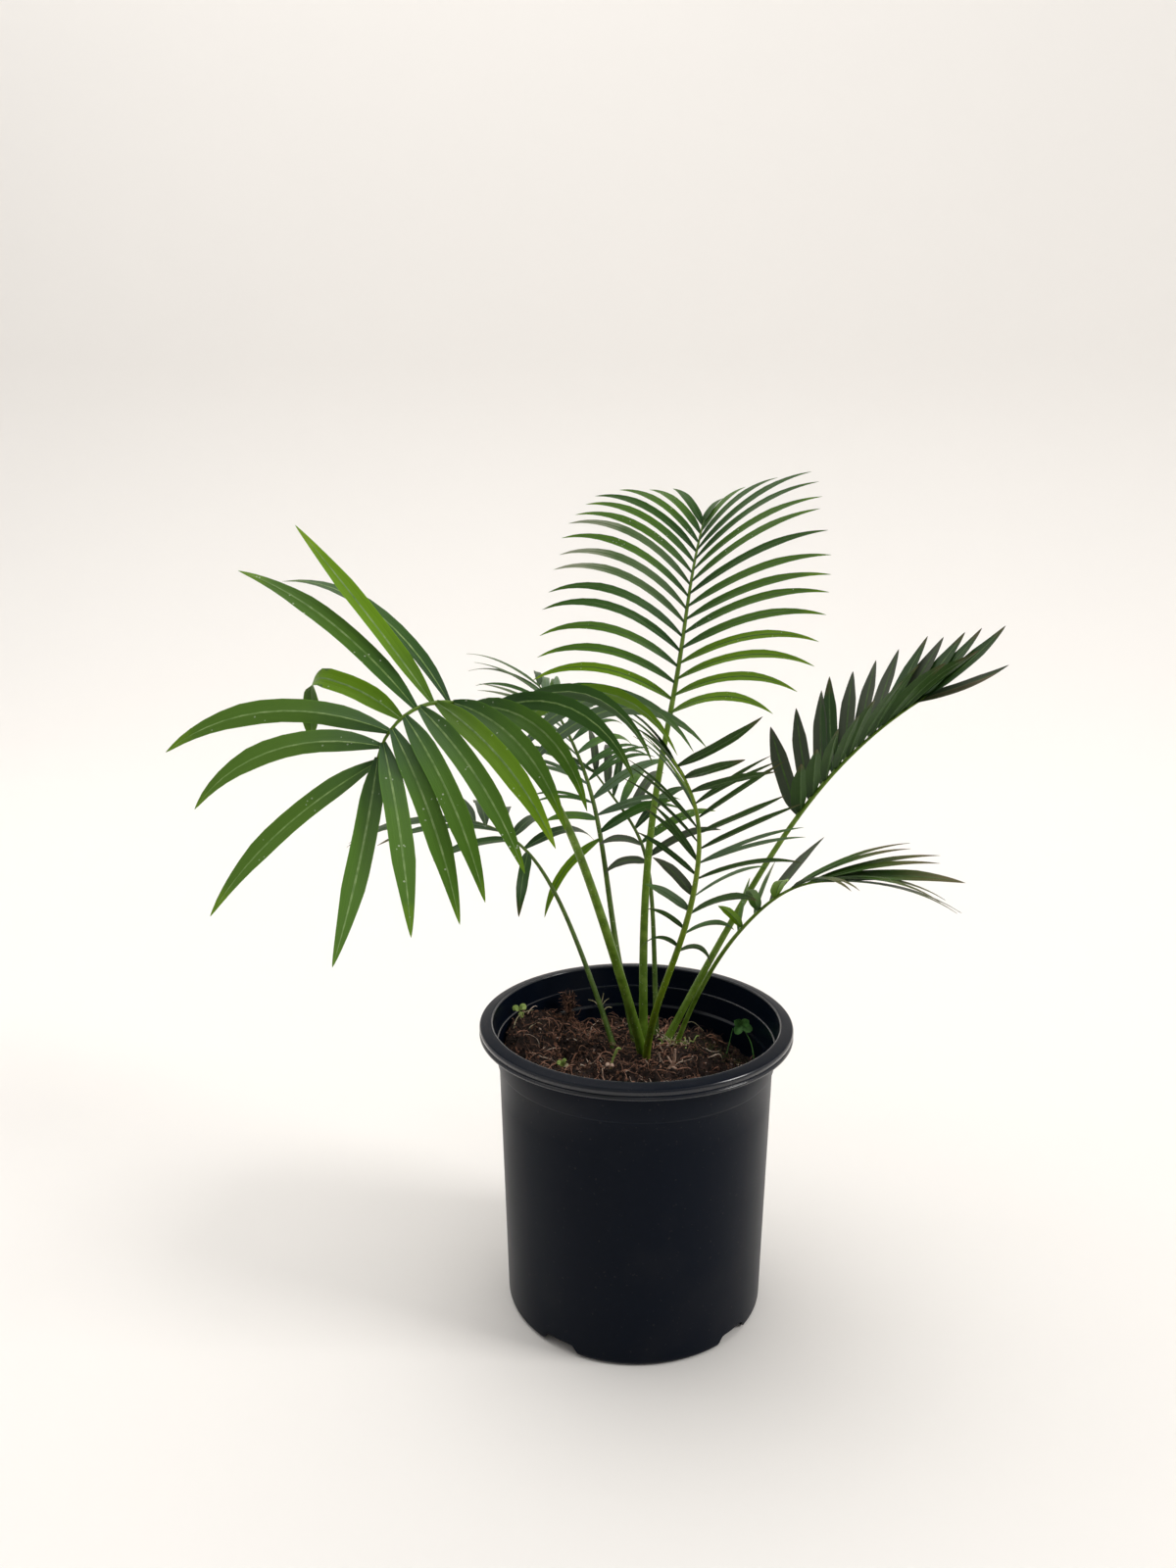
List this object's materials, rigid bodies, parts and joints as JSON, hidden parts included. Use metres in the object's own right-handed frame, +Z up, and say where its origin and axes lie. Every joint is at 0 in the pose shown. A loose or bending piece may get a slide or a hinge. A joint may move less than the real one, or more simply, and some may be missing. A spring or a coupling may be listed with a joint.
{
  "type": "potted cycad",
  "caption": "Young feather-leaved cycad with arching pinnate fronds rising from soil in a round plastic nursery pot with a rolled lip.",
  "frame": {"origin": "middle of the pot's flat underside", "axes": "+Z up, -Y towards the side that the picture shows, +X to the right there"},
  "size_m": [0.3735, 0.3785, 0.4425],
  "materials": {
    "pot_plastic": "blue-black moulded plastic with a satin skin",
    "soil_mix": "rough dark brown coir and peat crumb",
    "frond_green": "waxy leaf, mid green with a paler midrib"
  },
  "bodies": {
    "root": {"pot": "pot_plastic", "soil": "soil_mix", "frond_front_left": "frond_green", "frond_back_tall": "frond_green", "frond_right": "frond_green", "frond_front_right": "frond_green", "frond_low_right": "frond_green", "frond_back_left": "frond_green", "frond_low_left": "frond_green", "frond_back_short": "frond_green"}
  },
  "joints": []
}
